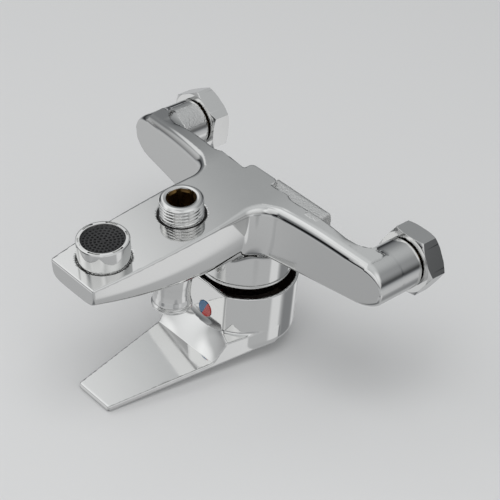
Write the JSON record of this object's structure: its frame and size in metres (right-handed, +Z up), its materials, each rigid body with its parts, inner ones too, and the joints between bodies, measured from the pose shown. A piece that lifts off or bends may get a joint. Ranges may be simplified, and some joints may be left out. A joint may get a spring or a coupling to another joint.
{
  "type": "bath and shower mixer tap",
  "caption": "Wall-mounted single-lever bath and shower mixer tap with union-nut inlets, a spout aerator, a threaded shower outlet and a pull-up diverter knob.",
  "frame": {"origin": "midway between the two inlet axes, in the plane of the union nuts' wall faces", "axes": "+Y towards the wall, along the inlet axes; +Z up, along the cartridge axis; X along the wall; the spout points to -Y"},
  "size_m": [0.1823, 0.1474, 0.099],
  "materials": {
    "chrome": "bright nickel-chrome plate on polished brass and zinc castings",
    "brass": "turned, unplated brass",
    "rubber": "moulded EPDM rubber",
    "white_plastic": "moulded acetal",
    "grey_plastic": "moulded dark grey acetal",
    "ceramic": "lapped alumina ceramic",
    "steel": "drawn stainless steel",
    "index_plastic": "moulded acrylic plug, one half red and one half blue"
  },
  "bodies": {
    "tap_body": {"body_casting": "chrome", "inlet_tail_left": "brass", "inlet_tail_right": "brass", "inlet_washers": "rubber", "cartridge_seals": "rubber", "cartridge_base": "white_plastic", "fixed_disc": "ceramic", "cartridge_housing": "grey_plastic", "clamp_nut": "brass", "cover_dome": "chrome", "diverter_bonnet": "brass", "bonnet_seal": "rubber", "diverter_spring": "steel", "shower_nipple": "chrome", "nipple_seal": "rubber", "aerator_housing": "chrome", "aerator_insert": "grey_plastic", "aerator_mesh": "steel", "aerator_washer": "rubber"},
    "nut_left": {"union_nut_left": "chrome"},
    "nut_right": {"union_nut_right": "chrome"},
    "rotor": {"stem_holder": "white_plastic", "stem_pin": "steel"},
    "shuttle": {"moving_disc": "ceramic", "disc_carrier": "white_plastic"},
    "lever": {"lever_stem": "steel", "handle": "chrome", "set_screw": "steel", "index_plug": "index_plastic"},
    "diverter": {"diverter_knob": "chrome", "diverter_stem": "brass", "diverter_valve": "brass", "diverter_seal": "rubber"}
  },
  "joints": [
    {"name": "handle_turn", "type": "hinge", "parent": "tap_body", "child": "rotor", "pos_m": [0, -0.0401, 0.03], "axis": [0, 0, 1], "range_deg": [-45, 45]},
    {"name": "handle_lift", "type": "hinge", "parent": "rotor", "child": "lever", "pos_m": [0, -0.0401, 0.03], "axis": [-1, 0, 0], "range_deg": [0, 22]},
    {"name": "disc_slide", "type": "slide", "parent": "rotor", "child": "shuttle", "axis": [0, -1, 0], "range_m": [0, 0.005]},
    {"name": "diverter_pull", "type": "slide", "parent": "tap_body", "child": "diverter", "axis": [0, 0, 1], "range_m": [0, 0.006], "stiffness_N_per_m": 60, "springref_m": -0.01, "deforming": ["diverter_spring"]},
    {"name": "left_nut_spin", "type": "hinge", "parent": "tap_body", "child": "nut_left", "pos_m": [-0.075, -0.005, 0], "axis": [0, 1, 0], "continuous": true},
    {"name": "right_nut_spin", "type": "hinge", "parent": "tap_body", "child": "nut_right", "pos_m": [0.075, -0.005, 0], "axis": [0, 1, 0], "continuous": true}
  ],
  "couplings": [
    {"joint": "disc_slide", "follows": "handle_lift", "m_per_rad": 0.01237}
  ]
}
